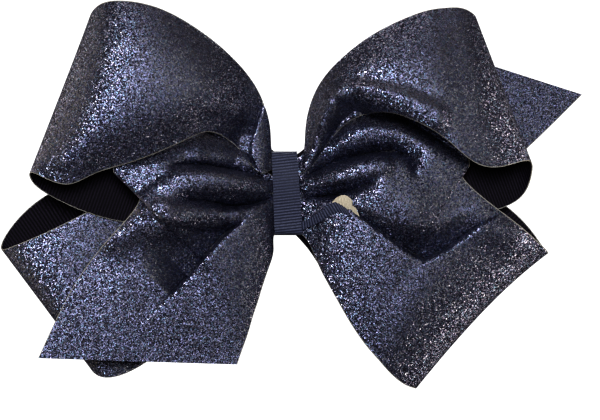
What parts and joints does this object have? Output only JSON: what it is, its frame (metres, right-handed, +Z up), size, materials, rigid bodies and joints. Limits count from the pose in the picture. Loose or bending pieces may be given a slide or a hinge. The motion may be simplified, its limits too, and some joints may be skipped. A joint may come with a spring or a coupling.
{
  "type": "cheer hair bow",
  "caption": "Large glitter-ribbon hair bow with loops and slanted tails gathered under a grosgrain centre wrap, on a spring clip that grips a ponytail.",
  "frame": {"origin": "centre of the clip's grip, between the closed jaws and behind the middle of the knot", "axes": "+Z up as worn, -Y the way the bow faces, +X to the right of someone looking at it"},
  "size_m": [0.186, 0.0372, 0.1224],
  "materials": {
    "glitter_ribbon": "navy glitter film on woven ribbon, coarse sparkle",
    "lining_ribbon": "near-black navy grosgrain, fine cross ribs",
    "wrap_ribbon": "navy grosgrain, cross ribs",
    "label_ribbon": "navy ribbon with a tan woven folded end, blank",
    "thread": "waxed navy thread",
    "glue": "clear hot-melt glue, matt",
    "clip_steel": "nickel-plated sheet steel",
    "spring_steel": "drawn spring wire",
    "grip_rubber": "translucent white non-slip foam rubber"
  },
  "bodies": {
    "bow": {"centre_wrap": "wrap_ribbon", "clip_front_blade": "clip_steel", "clip_lining": "lining_ribbon", "clip_pin": "clip_steel", "clip_spring": "spring_steel", "glue_pad": "glue", "grip_pad": "grip_rubber", "label_tab": "label_ribbon", "left_tail_face": "glitter_ribbon", "left_tail_lining": "lining_ribbon", "lower_left_loop_face": "glitter_ribbon", "lower_left_loop_lining": "lining_ribbon", "lower_right_loop_face": "glitter_ribbon", "lower_right_loop_lining": "lining_ribbon", "right_tail_face": "glitter_ribbon", "right_tail_lining": "lining_ribbon", "upper_left_loop_face": "glitter_ribbon", "upper_left_loop_lining": "lining_ribbon", "upper_right_loop_face": "glitter_ribbon", "upper_right_loop_lining": "lining_ribbon", "waist_stitching": "thread"},
    "jaw": {"clip_back_jaw": "clip_steel"}
  },
  "joints": [
    {"name": "clip_hinge", "type": "hinge", "parent": "bow", "child": "jaw", "pos_m": [0.016, 0.0016, 0], "axis": [0, 0, -1], "range_deg": [0, 30], "stiffness_Nm_per_rad": 0.05, "springref_deg": -45.84, "deforming": ["clip_spring"]}
  ]
}
